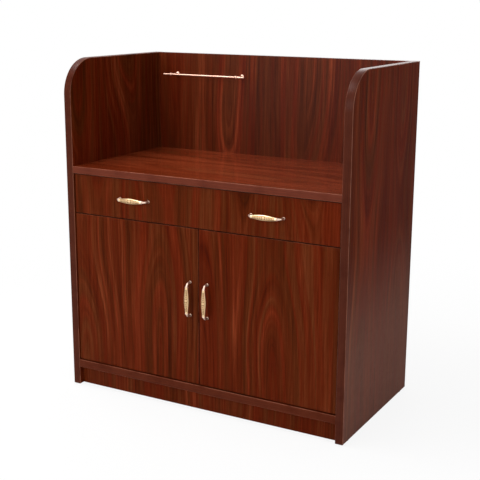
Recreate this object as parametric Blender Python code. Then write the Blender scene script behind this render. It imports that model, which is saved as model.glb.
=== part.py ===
"""Bar counter: two rounded side panels hold a worktop, a backboard, one wide drawer and a pair of doors.

Metres, +Z up. X runs along the front, the doors face -Y, and the origin is the middle of the floor area
that the whole counter covers, handles included.
"""

import math

import bmesh
import bpy
from mathutils import Matrix, Vector

# Carcass
WIDTH = 1.000
DEPTH = 0.530
HEIGHT = 1.100
BOARD = 0.025
BACK_BOARD = 0.018
CORNER_RADIUS = 0.115
CORNER_STEPS = 22
EDGE_EASE = 0.0010
WORKTOP_HEIGHT = 0.757
WORKTOP_BOARD = 0.022
BASE_HEIGHT = 0.067
TOE_BOARD = 0.018
TOE_RECESS = 0.020

# Gap kept between two pieces that rest on each other, and gap round a pin that turns or slides
SEAT = 0.0003
RUNNING = 0.0004

# Drawer front and doors
FRONT_BOARD = 0.018
FRONT_RECESS = 0.005
FRONT_GAP = 0.003
DRAWER_FRONT_HEIGHT = 0.1275

# Drawer box
BOX_BOARD = 0.015
BOX_HEIGHT = 0.085
BOX_LENGTH = 0.430
BOX_LIFT = 0.026
BOX_BOTTOM = 0.005
BOX_GROOVE = 0.007
BOX_GROOVE_LIFT = 0.010

# Rail behind the drawer front, and the shelf on its pins
RAIL_BOARD = 0.018
RAIL_DEPTH = 0.080
RAIL_GAP = 0.0015
SHELF_BOARD = 0.018
SHELF_HEIGHT = 0.350
SHELF_SETBACK = 0.110
SHELF_END_GAP = 0.0010
SHELF_BACK_GAP = 0.002
PIN_RADIUS = 0.0025
PIN_IN_PANEL = 0.009
PIN_UNDER_SHELF = 0.008
PIN_COLLAR_RADIUS = 0.0045
PIN_COLLAR = 0.0006
PIN_INSET = 0.055
PIN_PITCH = 0.032
PIN_HOLES_EACH_WAY = 2

# Telescopic drawer slides: three nested steel channels on each side
SLIDE_LENGTH = 0.400
SLIDE_HEIGHT = 0.0455
SLIDE_SPACE = 0.0127
SLIDE_SHEET = 0.0012
SLIDE_LIP = 0.0095
SLIDE_SETBACK = 0.002

# Cup hinges
CUP_RADIUS = 0.0175
CUP_WALL = 0.0008
CUP_DEPTH = 0.0140
CUP_INSET = 0.0225
CUP_RIM = 0.0015
CUP_PLATE = 0.0010
CUP_PLATE_LENGTH = 0.060
CUP_PLATE_WIDTH = 0.014
CUP_EARS = 0.0008
CUP_STEPS = 24
PIVOT_INSET = 0.018
HINGE_PIN_RADIUS = 0.00125
HINGE_PIN_IN_WALL = 0.0003
ARM_SHEET = 0.0014
ARM_WIDTH = 0.012
ARM_REACH = 0.017
ARM_CROSSING = 0.0225
ARM_BEND = 0.005
ARM_LENGTH = 0.068
PLATE_THICKNESS = 0.0045
PLATE_BODY_LENGTH = 0.032
PLATE_BODY_WIDTH = 0.016
PLATE_WING_SPAN = 0.048
PLATE_WING_WIDTH = 0.012
HINGE_END_INSET = 0.085

# Bow handles
HANDLE_CENTRES = 0.108
HANDLE_AXIS = 0.0235
BOW_POWER = 4.5
GRIP_LENGTH = 0.076
GRIP_WIDTH = 0.0165
GRIP_THICKNESS = 0.0090
GRIP_END_RADIUS = 0.0048
GRIP_STEPS = 7
GRIP_SWELL_POWER = 1.2
RING_RADIUS = 0.0056
RING_LENGTH = 0.0024
RING_CROWN = 0.0005
ARM_RADIUS = 0.0033
FOOT_RADIUS = 0.0056
FOOT_LENGTH = 0.0090
FOOT_COLLAR = 0.0014
FOOT_NECK = 0.0032
FOOT_NECK_RADIUS = 0.0041
ARM_STEPS = 7
HANDLE_SIDES = 12
DOOR_HANDLE_INSET = 0.0295
DOOR_HANDLE_RAISE = 0.027

# Handle screws
SCREW_RADIUS = 0.0020
SCREW_INTO_FOOT = 0.0060
SCREW_HEAD_RADIUS = 0.0042
SCREW_HEAD = 0.0026
SCREW_HEAD_CROWN = 0.0012
SCREW_TIP = 0.0010

# Stemware rail in front of the backboard
ROD_RADIUS = 0.0030
ROD_LENGTH = 0.328
ROD_END_INSET = 0.0475
ROD_DROP = 0.0735
ROD_STANDOFF = 0.045
STAND_INSET = 0.032
STAND_RADIUS = 0.0030
STAND_FLANGE_RADIUS = 0.0070
STAND_FLANGE = 0.0025
STAND_FLANGE_RIM = 0.0012
STAND_FILLET = 0.0018
STAND_BALL_RADIUS = 0.0054
STAND_BALL_STEPS = 6
ROD_CROWN = 0.0018

# Floor glides
GLIDE_RADIUS = 0.0115
GLIDE_HEIGHT = 0.0040
GLIDE_NAIL_RADIUS = 0.0014
GLIDE_NAIL = 0.0120
GLIDE_NAIL_TIP = 0.0036
GLIDE_INSET = 0.045
GLIDE_CHAMFER = 0.0022

# Places worked out from the sizes above
HANDLE_REACH = HANDLE_AXIS + GRIP_THICKNESS / 2 + SEAT
HANDLE_PROUD = HANDLE_REACH - FRONT_RECESS
FRONT_Y = (HANDLE_PROUD - DEPTH) / 2
BACK_Y = FRONT_Y + DEPTH
BACKBOARD_Y = BACK_Y - BACK_BOARD
DOOR_Y = FRONT_Y + FRONT_RECESS
DOOR_BACK_Y = DOOR_Y + FRONT_BOARD
INNER = WIDTH / 2 - BOARD
PANEL_FOOT = GLIDE_HEIGHT + SEAT
BOTTOM_TOP = BASE_HEIGHT + BOARD
WORKTOP_UNDER = WORKTOP_HEIGHT - WORKTOP_BOARD
DRAWER_TOP = WORKTOP_UNDER - FRONT_GAP
DRAWER_FOOT = DRAWER_TOP - DRAWER_FRONT_HEIGHT
DOOR_TOP = DRAWER_FOOT - FRONT_GAP
DOOR_FOOT = BOTTOM_TOP + FRONT_GAP
DOOR_WIDTH = INNER - 1.5 * FRONT_GAP
PIVOT_X = INNER - FRONT_GAP - PIVOT_INSET
CUP_FLOOR_Y = DOOR_BACK_Y - CUP_DEPTH + SEAT + CUP_WALL
EYE_RADIUS = HINGE_PIN_RADIUS + RUNNING + ARM_SHEET / 2
PIVOT_Y = CUP_FLOOR_Y + RUNNING + EYE_RADIUS + ARM_SHEET / 2
HINGE_HEIGHTS = {"upper": DOOR_TOP - HINGE_END_INSET, "lower": DOOR_FOOT + HINGE_END_INSET}
BOX_HALF = INNER - SLIDE_SPACE
BOX_FOOT = DRAWER_FOOT + BOX_LIFT
BOX_FRONT_Y = DOOR_BACK_Y + SEAT
SLIDE_Z = BOX_FOOT + BOX_HEIGHT / 2
SIDES = {"left": -1, "right": 1}


def clear_scene():
    for item in list(bpy.data.objects):
        bpy.data.objects.remove(item, do_unlink=True)


def material(name, colour, roughness, metallic=0.0):
    made = bpy.data.materials.new(name)
    made.use_nodes = True
    shader = made.node_tree.nodes["Principled BSDF"]
    shader.inputs["Base Color"].default_value = (*colour, 1.0)
    shader.inputs["Roughness"].default_value = roughness
    shader.inputs["Metallic"].default_value = metallic
    return made


def frame_point(name, place):
    """An empty that carries the pieces of one body."""
    empty = bpy.data.objects.new(name, None)
    empty.location = place
    bpy.context.scene.collection.objects.link(empty)
    return empty


def place(name, mesh, where, body=None, finish=None, turn=(0.0, 0.0, 0.0)):
    """Put a mesh in the scene at a world position, carried by its body's empty."""
    item = bpy.data.objects.new(name, mesh)
    bpy.context.scene.collection.objects.link(item)
    if finish and not mesh.materials:
        mesh.materials.append(finish)
    offset = body.location if body else Vector((0.0, 0.0, 0.0))
    item.parent = body
    item.location = Vector(where) - offset
    item.rotation_euler = turn
    return item


def mesh_from(shape, name, smooth_angle=None):
    bmesh.ops.recalc_face_normals(shape, faces=shape.faces)
    mesh = bpy.data.meshes.new(name)
    shape.to_mesh(mesh)
    shape.free()
    if smooth_angle:
        mesh.shade_smooth()
        mesh.set_sharp_from_angle(angle=math.radians(smooth_angle))
    return mesh


def box_shape(low, high):
    shape = bmesh.new()
    bmesh.ops.create_cube(shape, size=1.0)
    size = Vector(high) - Vector(low)
    bmesh.ops.scale(shape, vec=size, verts=shape.verts)
    return shape


def board(name, low, high, body, finish):
    """A flat board between two corners, with eased edges."""
    shape = box_shape(low, high)
    thin = min(Vector(high) - Vector(low))
    ease = min(EDGE_EASE, thin / 5)
    bmesh.ops.bevel(shape, geom=shape.edges, offset=ease, segments=2, profile=0.5, affect="EDGES")
    middle = (Vector(low) + Vector(high)) / 2
    return place(name, mesh_from(shape, name, 40), middle, body, finish)


def prism(outline, thickness, name, smooth_angle=30):
    """An outline in the XY plane, extruded along +Z from half below to half above it."""
    shape = bmesh.new()
    corners = [shape.verts.new((x, y, -thickness / 2)) for x, y in outline]
    face = shape.faces.new(corners)
    grown = bmesh.ops.extrude_face_region(shape, geom=[face])
    lifted = [part for part in grown["geom"] if isinstance(part, bmesh.types.BMVert)]
    bmesh.ops.translate(shape, vec=(0.0, 0.0, thickness), verts=lifted)
    return mesh_from(shape, name, smooth_angle)


def turned(profile, steps, name, smooth_angle=40):
    """A solid turned about Z from a profile of radius and height that starts and ends on the axis."""
    shape = bmesh.new()
    rings = []
    for radius, height in profile:
        if radius == 0.0:
            rings.append([shape.verts.new((0.0, 0.0, height))])
            continue
        angles = [2 * math.pi * step / steps for step in range(steps)]
        rings.append([shape.verts.new((radius * math.cos(a), radius * math.sin(a), height)) for a in angles])
    for lower, upper in zip(rings, rings[1:]):
        for step in range(steps):
            after = (step + 1) % steps
            if len(lower) == 1:
                shape.faces.new((lower[0], upper[after], upper[step]))
            elif len(upper) == 1:
                shape.faces.new((lower[step], lower[after], upper[0]))
            else:
                shape.faces.new((lower[step], lower[after], upper[after], upper[step]))
    return mesh_from(shape, name, smooth_angle)


def rod_profile(radius, low, high):
    return [(0.0, low), (radius, low), (radius, high), (0.0, high)]


def tool(name, mesh, where=(0.0, 0.0, 0.0), turn=(0.0, 0.0, 0.0)):
    """A hidden shape that cuts, or is joined to, another piece."""
    helper = place(name, mesh, where, turn=turn)
    helper.hide_render = True
    helper.display_type = "WIRE"
    return helper


def combine(piece, helper, operation):
    step = piece.modifiers.new(helper.name, "BOOLEAN")
    step.operation = operation
    step.solver = "EXACT"
    step.object = helper


def drill(piece, name, radius, axis, spots, steps=12):
    """Cut one straight hole for each pair of end points that lie along the named axis."""
    shape = bmesh.new()
    turns = {"X": Matrix.Rotation(math.pi / 2, 4, "Y"), "Y": Matrix.Rotation(math.pi / 2, 4, "X"),
             "Z": Matrix.Identity(4)}
    for start, end in spots:
        middle = (Vector(start) + Vector(end)) / 2
        length = (Vector(end) - Vector(start)).length
        spot = Matrix.Translation(middle) @ turns[axis]
        bmesh.ops.create_cone(shape, cap_ends=True, segments=steps, radius1=radius, radius2=radius,
                              depth=length, matrix=spot)
    combine(piece, tool(name, mesh_from(shape, name)), "DIFFERENCE")


def side_outline():
    """Side panel seen from its side: Y across, Z up, with the front top corner rounded."""
    points = [(BACK_Y, HEIGHT), (BACK_Y, PANEL_FOOT), (FRONT_Y, PANEL_FOOT)]
    for step in range(CORNER_STEPS + 1):
        angle = math.pi - math.pi / 2 * step / CORNER_STEPS
        across = FRONT_Y + CORNER_RADIUS + CORNER_RADIUS * math.cos(angle)
        points.append((across, HEIGHT - CORNER_RADIUS + CORNER_RADIUS * math.sin(angle)))
    return points


def side_panel(side, body, finish):
    sign = SIDES[side]
    name = side + "_side_panel"
    shape = bmesh.new()
    corners = [shape.verts.new((-BOARD / 2, y, z)) for y, z in side_outline()]
    face = shape.faces.new(corners)
    grown = bmesh.ops.extrude_face_region(shape, geom=[face])
    moved = [part for part in grown["geom"] if isinstance(part, bmesh.types.BMVert)]
    bmesh.ops.translate(shape, vec=(BOARD, 0.0, 0.0), verts=moved)
    rims = [edge for edge in shape.edges if abs(edge.verts[0].co.x - edge.verts[1].co.x) < BOARD / 2]
    bmesh.ops.bevel(shape, geom=rims, offset=EDGE_EASE, segments=2, profile=0.5, affect="EDGES")
    middle = sign * (INNER + BOARD / 2)
    panel = place(name, mesh_from(shape, name, 30), (middle, 0.0, 0.0), body, finish)

    nail_end = GLIDE_HEIGHT + GLIDE_NAIL + SEAT
    nails = [((middle, y, PANEL_FOOT - SEAT), (middle, y, nail_end)) for y in glide_rows()]
    drill(panel, name + "_nail_holes", GLIDE_NAIL_RADIUS + SEAT, "Z", nails, steps=8)
    mouth = sign * (INNER - SEAT)
    end = sign * (INNER + PIN_IN_PANEL + SEAT)
    spots = [((mouth, y, z), (end, y, z)) for y in pin_rows() for z in pin_hole_heights()]
    drill(panel, name + "_pin_holes", PIN_RADIUS + SEAT, "X", spots, steps=10)
    return panel


def glide_rows():
    return (FRONT_Y + GLIDE_INSET, BACK_Y - GLIDE_INSET)


def shelf_front():
    return DOOR_Y + SHELF_SETBACK


def pin_rows():
    return (shelf_front() + PIN_INSET, BACKBOARD_Y - PIN_INSET)


def pin_height():
    return SHELF_HEIGHT - SEAT - PIN_RADIUS


def pin_hole_heights():
    reach = range(-PIN_HOLES_EACH_WAY, PIN_HOLES_EACH_WAY + 1)
    return [pin_height() + PIN_PITCH * step for step in reach]


def carcass_boards(body, wood):
    span = INNER - SEAT
    behind = BACKBOARD_Y - SEAT
    for side in SIDES:
        side_panel(side, body, wood)
    board("back_panel", (-span, BACKBOARD_Y, PANEL_FOOT), (span, BACK_Y, HEIGHT), body, wood)
    board("worktop", (-span, FRONT_Y, WORKTOP_UNDER), (span, behind, WORKTOP_HEIGHT), body, wood)
    board("bottom_board", (-span, FRONT_Y, BASE_HEIGHT), (span, behind, BOTTOM_TOP), body, wood)
    toe_y = FRONT_Y + TOE_RECESS
    toe_top = BASE_HEIGHT - SEAT
    board("toe_kick", (-span, toe_y, PANEL_FOOT), (span, toe_y + TOE_BOARD, toe_top), body, wood)
    rail_y = DOOR_BACK_Y + RAIL_GAP
    rail_foot = DRAWER_FOOT + RAIL_GAP
    rail_top = rail_foot + RAIL_BOARD
    board("drawer_rail", (-span, rail_y, rail_foot), (span, rail_y + RAIL_DEPTH, rail_top), body, wood)
    shelf_span = INNER - SHELF_END_GAP
    shelf_low = (-shelf_span, shelf_front(), SHELF_HEIGHT)
    shelf_high = (shelf_span, BACKBOARD_Y - SHELF_BACK_GAP, SHELF_HEIGHT + SHELF_BOARD)
    board("shelf", shelf_low, shelf_high, body, wood)


def shelf_pins(body, steel):
    collar = SEAT + PIN_COLLAR
    profile = [(0.0, -PIN_IN_PANEL), (PIN_RADIUS, -PIN_IN_PANEL), (PIN_RADIUS, SEAT),
               (PIN_COLLAR_RADIUS, SEAT), (PIN_COLLAR_RADIUS, collar), (PIN_RADIUS, collar),
               (PIN_RADIUS, PIN_UNDER_SHELF), (0.0, PIN_UNDER_SHELF)]
    mesh = turned(profile, 12, "shelf_pin")
    # The collar is flattened on top where the shelf lies on the pin
    for vert in mesh.vertices:
        vert.co.y = min(vert.co.y, PIN_RADIUS)
    rows = dict(zip(("front", "rear"), pin_rows()))
    for side, sign in SIDES.items():
        for row, y in rows.items():
            where = (sign * INNER, y, pin_height())
            turn = (math.pi / 2, 0.0, -sign * math.pi / 2)
            place(f"shelf_pin_{side}_{row}", mesh, where, body, steel, turn)


def glides(body, plastic):
    sole = GLIDE_RADIUS - GLIDE_CHAMFER
    nail_top = GLIDE_HEIGHT + GLIDE_NAIL
    profile = [(0.0, 0.0), (sole, 0.0), (GLIDE_RADIUS, GLIDE_CHAMFER), (GLIDE_RADIUS, GLIDE_HEIGHT),
               (GLIDE_NAIL_RADIUS, GLIDE_HEIGHT), (GLIDE_NAIL_RADIUS, nail_top - GLIDE_NAIL_TIP),
               (0.0, nail_top)]
    mesh = turned(profile, 18, "glide")
    rows = dict(zip(("front", "rear"), glide_rows()))
    for side, sign in SIDES.items():
        for row, y in rows.items():
            place(f"glide_{side}_{row}", mesh, (sign * (INNER + BOARD / 2), y, 0.0), body, plastic)


def stemware_rail(body, copper):
    rod_y = BACKBOARD_Y - ROD_STANDOFF
    rod_z = HEIGHT - ROD_DROP
    start = -INNER + ROD_END_INSET
    half = ROD_LENGTH / 2
    face = ROD_RADIUS - ROD_CROWN
    profile = [(0.0, -half), (face, -half), (ROD_RADIUS, -half + ROD_CROWN), (ROD_RADIUS, half - ROD_CROWN),
               (face, half), (0.0, half)]
    rod = turned(profile, 16, "stemware_rail")
    place("stemware_rail", rod, (start + half, rod_y, rod_z), body, copper, (0.0, math.pi / 2, 0.0))

    reach = ROD_STANDOFF - SEAT
    shoulder = STAND_RADIUS + STAND_FILLET
    profile = [(0.0, 0.0), (STAND_FLANGE_RADIUS, 0.0), (STAND_FLANGE_RADIUS, STAND_FLANGE_RIM),
               (shoulder, STAND_FLANGE), (STAND_RADIUS, STAND_FLANGE + STAND_FILLET)]
    waist = math.asin(STAND_RADIUS / STAND_BALL_RADIUS)
    for step in range(STAND_BALL_STEPS):
        angle = (math.pi - waist) * (1 - step / STAND_BALL_STEPS)
        profile.append((STAND_BALL_RADIUS * math.sin(angle), reach + STAND_BALL_RADIUS * math.cos(angle)))
    profile.append((0.0, reach + STAND_BALL_RADIUS))
    stand = turned(profile, 18, "rail_standoff")
    places = {"left": start + STAND_INSET, "right": start + ROD_LENGTH - STAND_INSET}
    for side, x in places.items():
        name = f"rail_standoff_{side}"
        item = place(name, stand, (x, BACKBOARD_Y - SEAT, rod_z), body, copper, (math.pi / 2, 0.0, 0.0))
        past = 2 * STAND_BALL_RADIUS
        ends = [((x - past, rod_y, rod_z), (x + past, rod_y, rod_z))]
        drill(item, name + "_bore", ROD_RADIUS + SEAT, "X", ends, steps=16)


def channel(half_height, depth):
    """A C of bent sheet: its back at X = 0, its lips reaching to X = depth."""
    inner = half_height - SLIDE_SHEET
    return [(0.0, -half_height), (depth, -half_height), (depth, -inner), (SLIDE_SHEET, -inner),
            (SLIDE_SHEET, inner), (depth, inner), (depth, half_height), (0.0, half_height)]


def slide_channel(name, side, back, half_height, depth, body, steel, faces_panel=False):
    """One slide member. back is how far its flat back stands from the side panel's inner face."""
    sign = SIDES[side]
    towards = sign if faces_panel else -sign
    outline = [(towards * x, z) for x, z in channel(half_height, depth)]
    mesh = prism(outline, SLIDE_LENGTH, name)
    middle = DOOR_BACK_Y + SLIDE_SETBACK + SLIDE_LENGTH / 2
    where = (sign * (INNER - back), middle, SLIDE_Z)
    return place(name, mesh, where, body, steel, (math.pi / 2, 0.0, 0.0))


def drawer_slides(carcass, middles, drawer, steel):
    outer = SLIDE_HEIGHT / 2
    step = SLIDE_SHEET + RUNNING
    middle_back = SEAT + step
    drawer_back = SLIDE_SPACE - SEAT
    drawer_lip = drawer_back - middle_back - step
    for side in SIDES:
        slide_channel(f"slide_cabinet_{side}", side, SEAT, outer, SLIDE_LIP, carcass, steel)
        middle_lip = SLIDE_LIP - step
        slide_channel(f"slide_middle_{side}", side, middle_back, outer - step, middle_lip,
                      middles[side], steel)
        slide_channel(f"slide_drawer_{side}", side, drawer_back, outer - 2 * step, drawer_lip,
                      drawer, steel, faces_panel=True)


def drawer_box(body, wood, plain):
    span = INNER - FRONT_GAP
    front = board("drawer_front", (-span, DOOR_Y, DRAWER_FOOT), (span, DOOR_BACK_Y, DRAWER_TOP), body, wood)
    top = BOX_FOOT + BOX_HEIGHT
    end = BOX_FRONT_Y + BOX_LENGTH
    walls = []
    for side, sign in SIDES.items():
        x = sorted((sign * BOX_HALF, sign * (BOX_HALF - BOX_BOARD)))
        low = (x[0], BOX_FRONT_Y, BOX_FOOT)
        walls.append(board(f"drawer_side_{side}", low, (x[1], end, top), body, plain))
    inside = BOX_HALF - BOX_BOARD
    sheet_foot = BOX_FOOT + BOX_GROOVE_LIFT
    sheet_top = sheet_foot + BOX_BOTTOM
    back_low = (-inside + SEAT, end - BOX_BOARD, sheet_top + SEAT)
    board("drawer_back", back_low, (inside - SEAT, end, top), body, plain)
    reach = inside + BOX_GROOVE
    low = Vector((-reach, BOX_FRONT_Y - BOX_GROOVE, sheet_foot))
    high = Vector((reach, end, sheet_top))
    board("drawer_bottom", low, high, body, plain)
    room = Vector((SEAT, SEAT, SEAT))
    past = Vector((0.0, BOX_BOARD, 0.0))
    groove = mesh_from(box_shape(low - room, high + room + past), "drawer_groove")
    cutter = tool("drawer_groove", groove, (low + high + past) / 2)
    for piece in (front, *walls):
        combine(piece, cutter, "DIFFERENCE")
    return front


def bow_point(share):
    """Point on the handle's centre line: distance along the handle, distance from the front."""
    angle = math.pi / 2 * share
    along = HANDLE_CENTRES / 2 * math.cos(angle) ** (2 / BOW_POWER)
    out = HANDLE_AXIS * math.sin(angle) ** (2 / BOW_POWER)
    return Vector((along, 0.0, out))


def bow_line(samples=400):
    """Half of the centre line, from the middle of the grip to the foot, with the length run so far."""
    points = [bow_point(1.0 - step / samples) for step in range(samples + 1)]
    points[-1] = Vector((HANDLE_CENTRES / 2, 0.0, 0.0))
    run = [0.0]
    for before, after in zip(points, points[1:]):
        run.append(run[-1] + (after - before).length)
    return points, run


def along_bow(points, run, length):
    for place_in_run in range(1, len(run)):
        if run[place_in_run] >= length:
            break
    before = points[place_in_run - 1]
    after = points[place_in_run]
    share = (length - run[place_in_run - 1]) / (run[place_in_run] - run[place_in_run - 1])
    return before.lerp(after, min(share, 1.0)), (after - before).normalized()


def handle_stations(total):
    """Lengths along half of the bow with the half width and half thickness of the metal there."""
    half = GRIP_LENGTH / 2
    stations = []
    for step in range(GRIP_STEPS + 1):
        share = step / GRIP_STEPS
        swell = math.cos(math.pi / 2 * share) ** GRIP_SWELL_POWER
        wide = GRIP_END_RADIUS + (GRIP_WIDTH / 2 - GRIP_END_RADIUS) * swell
        thick = GRIP_END_RADIUS + (GRIP_THICKNESS / 2 - GRIP_END_RADIUS) * swell
        stations.append((half * share, wide, thick))
    shoulder = RING_RADIUS - RING_CROWN
    middle = half + RING_LENGTH / 2
    stations.append((middle - RING_LENGTH / 3, shoulder, shoulder))
    stations.append((middle, RING_RADIUS, RING_RADIUS))
    stations.append((middle + RING_LENGTH / 3, shoulder, shoulder))
    start = half + RING_LENGTH
    arm = total - FOOT_LENGTH - start
    for step in range(ARM_STEPS + 1):
        stations.append((start + arm * step / ARM_STEPS, ARM_RADIUS, ARM_RADIUS))
    stations.append((total - FOOT_NECK, FOOT_NECK_RADIUS, FOOT_NECK_RADIUS))
    stations.append((total - FOOT_COLLAR, FOOT_RADIUS, FOOT_RADIUS))
    stations.append((total, FOOT_RADIUS, FOOT_RADIUS))
    return stations


def handle_mesh():
    """Bow handle: X along it, Z out from the front, with a screw hole up each foot."""
    points, run = bow_line()
    shape = bmesh.new()
    stations = handle_stations(run[-1])
    rows = [(-1, *station) for station in reversed(stations[1:])] + [(1, *station) for station in stations]
    rings = []
    for sign, length, wide, thick in rows:
        centre, heading = along_bow(points, run, length)
        outward = Vector((-heading.z, 0.0, heading.x))
        if length == 0.0:
            outward = Vector((0.0, 0.0, 1.0))
        ring = []
        for step in range(HANDLE_SIDES):
            angle = 2 * math.pi * step / HANDLE_SIDES
            spot = centre + outward * thick * math.cos(angle)
            ring.append(shape.verts.new((sign * spot.x, wide * math.sin(angle), spot.z)))
        rings.append(ring)
    for before, after in zip(rings, rings[1:]):
        for step in range(HANDLE_SIDES):
            follow = (step + 1) % HANDLE_SIDES
            shape.faces.new((before[step], before[follow], after[follow], after[step]))
    soles = [shape.faces.new(rings[0]), shape.faces.new(rings[-1])]
    bmesh.ops.recalc_face_normals(shape, faces=shape.faces)
    rim = FOOT_RADIUS - SCREW_RADIUS - SEAT
    bmesh.ops.inset_individual(shape, faces=soles, thickness=rim)
    depth = SCREW_INTO_FOOT + SEAT
    for sole in soles:
        grown = bmesh.ops.extrude_discrete_faces(shape, faces=[sole])
        bmesh.ops.translate(shape, vec=(0.0, 0.0, depth), verts=grown["faces"][0].verts)
    return mesh_from(shape, "bow_handle", 50)


def screw_mesh():
    """Handle screw along Z: the head's seat at Z = 0, the shank going up."""
    length = FRONT_BOARD + SCREW_INTO_FOOT
    crown = SCREW_HEAD_RADIUS - SCREW_HEAD_CROWN
    rim = SCREW_HEAD_CROWN - SCREW_HEAD
    tip = SCREW_RADIUS - SCREW_TIP
    profile = [(0.0, -SCREW_HEAD), (crown, -SCREW_HEAD), (SCREW_HEAD_RADIUS, rim),
               (SCREW_HEAD_RADIUS, -SEAT), (SCREW_RADIUS, -SEAT), (SCREW_RADIUS, length - SCREW_TIP),
               (tip, length), (0.0, length)]
    return turned(profile, 12, "handle_screw")


def fit_handle(name, front, centre, upright, body, meshes, brass, steel):
    """A handle on a front board, with its two screws and their holes."""
    x, z = centre
    turn = (math.pi / 2, math.pi / 2 if upright else 0.0, 0.0)
    place(name, meshes["handle"], (x, DOOR_Y - SEAT, z), body, brass, turn)
    half = HANDLE_CENTRES / 2
    ends = {"upper": (x, z + half), "lower": (x, z - half)}
    if not upright:
        ends = {"left": (x - half, z), "right": (x + half, z)}
    spots = []
    for end, (end_x, end_z) in ends.items():
        where = (end_x, DOOR_BACK_Y, end_z)
        place(f"{name}_screw_{end}", meshes["screw"], where, body, steel, (math.pi / 2, 0.0, 0.0))
        spots.append(((end_x, DOOR_Y - SEAT, end_z), (end_x, DOOR_BACK_Y + SEAT, end_z)))
    drill(front, name + "_holes", SCREW_RADIUS + SEAT, "Y", spots)


def arc(centre, radius, start, end, steps):
    """Points on an arc in the XY plane, angles in degrees, ends included."""
    angles = [math.radians(start + (end - start) * step / steps) for step in range(steps + 1)]
    return [(centre[0] + radius * math.cos(a), centre[1] + radius * math.sin(a)) for a in angles]


def arm_outline():
    """Hinge arm seen from above, for the left door: pivot at the origin, X to the right, Y to the back.

    The strip is rolled round the pin, steps out of the cup, crosses behind the swinging edge of the door
    and runs back along the side panel.
    """
    bend = ARM_BEND
    floor = -EYE_RADIUS
    along_panel = PLATE_THICKNESS + SEAT + ARM_SHEET / 2 - FRONT_GAP - PIVOT_INSET
    path = arc((0.0, 0.0), EYE_RADIUS, 20, 270, 12)
    path += arc((ARM_REACH - bend, floor + bend), bend, -90, 0, 5)
    path += arc((ARM_REACH - bend, ARM_CROSSING - bend), bend, 0, 90, 5)
    path += arc((along_panel + bend, ARM_CROSSING + bend), bend, 270, 180, 5)
    path.append((along_panel, ARM_LENGTH))
    one_side = []
    other_side = []
    for place_in_path, (x, y) in enumerate(path):
        before = path[max(place_in_path - 1, 0)]
        after = path[min(place_in_path + 1, len(path) - 1)]
        heading = Vector((after[0] - before[0], after[1] - before[1])).normalized()
        shift = Vector((-heading.y, heading.x)) * ARM_SHEET / 2
        one_side.append((x + shift.x, y + shift.y))
        other_side.append((x - shift.x, y - shift.y))
    return one_side + other_side[::-1]


def plate_outline():
    """Cross-shaped mounting plate: X along the panel's depth, Y up."""
    body_x = PLATE_BODY_LENGTH / 2
    body_y = PLATE_BODY_WIDTH / 2
    wing_x = PLATE_WING_WIDTH / 2
    wing_y = PLATE_WING_SPAN / 2
    quarter = [(body_x, body_y), (wing_x, body_y), (wing_x, wing_y)]
    points = quarter[:]
    points += [(-x, y) for x, y in quarter[::-1]]
    points += [(-x, -y) for x, y in quarter]
    points += [(x, -y) for x, y in quarter[::-1]]
    return points


def cup_mesh():
    """Hinge cup before it is hollowed, turned about Z: its rim lies on the door's back at Z = 0."""
    floor = -CUP_DEPTH + SEAT
    rim = CUP_RADIUS + CUP_RIM
    low = SEAT
    high = SEAT + CUP_PLATE
    profile = [(0.0, floor), (CUP_RADIUS, floor), (CUP_RADIUS, low), (rim, low), (rim, high), (0.0, high)]
    return turned(profile, CUP_STEPS, "hinge_cup")


def cup_ears_mesh():
    """Screw plate of the cup, a bar with round ends that is a little thinner than the rim."""
    half = CUP_PLATE_LENGTH / 2 - CUP_PLATE_WIDTH / 2
    radius = CUP_PLATE_WIDTH / 2
    outline = arc((0.0, half), radius, 0, 180, 8) + arc((0.0, -half), radius, 180, 360, 8)
    return prism(outline, CUP_EARS, "hinge_cup_ears")


def hinge(side, level, carcass, door, door_body, meshes, steel):
    """A cup in the door on a pin, an arm that holds the pin, and the plate that carries the arm."""
    sign = SIDES[side]
    z = HINGE_HEIGHTS[level]
    tag = f"{side}_{level}"
    pivot_x = sign * PIVOT_X
    cup_x = sign * (INNER - FRONT_GAP - CUP_INSET)
    cup_name = f"hinge_cup_{tag}"
    lying = (-math.pi / 2, 0.0, 0.0)
    cup = place(cup_name, meshes["cup"], (cup_x, DOOR_BACK_Y, z), door_body, steel, lying)
    ears_y = DOOR_BACK_Y + SEAT + CUP_PLATE / 2
    combine(cup, tool(cup_name + "_ears", meshes["ears"], (cup_x, ears_y, z), lying), "UNION")
    mouth = CUP_RADIUS - CUP_WALL
    mouth_ends = [((cup_x, CUP_FLOOR_Y, z), (cup_x, DOOR_BACK_Y + SEAT + 2 * CUP_PLATE, z))]
    drill(cup, cup_name + "_mouth", mouth, "Y", mouth_ends, steps=CUP_STEPS)
    pin_half = math.sqrt(mouth ** 2 - (CUP_INSET - PIVOT_INSET) ** 2) + HINGE_PIN_IN_WALL
    pin = turned(rod_profile(HINGE_PIN_RADIUS, -pin_half, pin_half), 12, cup_name + "_pin")
    combine(cup, tool(cup_name + "_pin", pin, (pivot_x, PIVOT_Y, z)), "UNION")
    pocket = [((cup_x, DOOR_BACK_Y - CUP_DEPTH, z), (cup_x, DOOR_BACK_Y + SEAT, z))]
    drill(door, cup_name + "_pocket", CUP_RADIUS + SEAT, "Y", pocket, steps=CUP_STEPS)

    place(f"hinge_arm_{tag}", meshes["arm"][side], (pivot_x, PIVOT_Y, z), carcass, steel)
    plate_x = sign * (INNER - SEAT / 2 - PLATE_THICKNESS / 2)
    plate_y = PIVOT_Y + ARM_LENGTH - PLATE_BODY_LENGTH / 2
    place(f"hinge_plate_{tag}", meshes["plate"], (plate_x, plate_y, z), carcass, steel,
          (math.pi / 2, 0.0, math.pi / 2))


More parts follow.
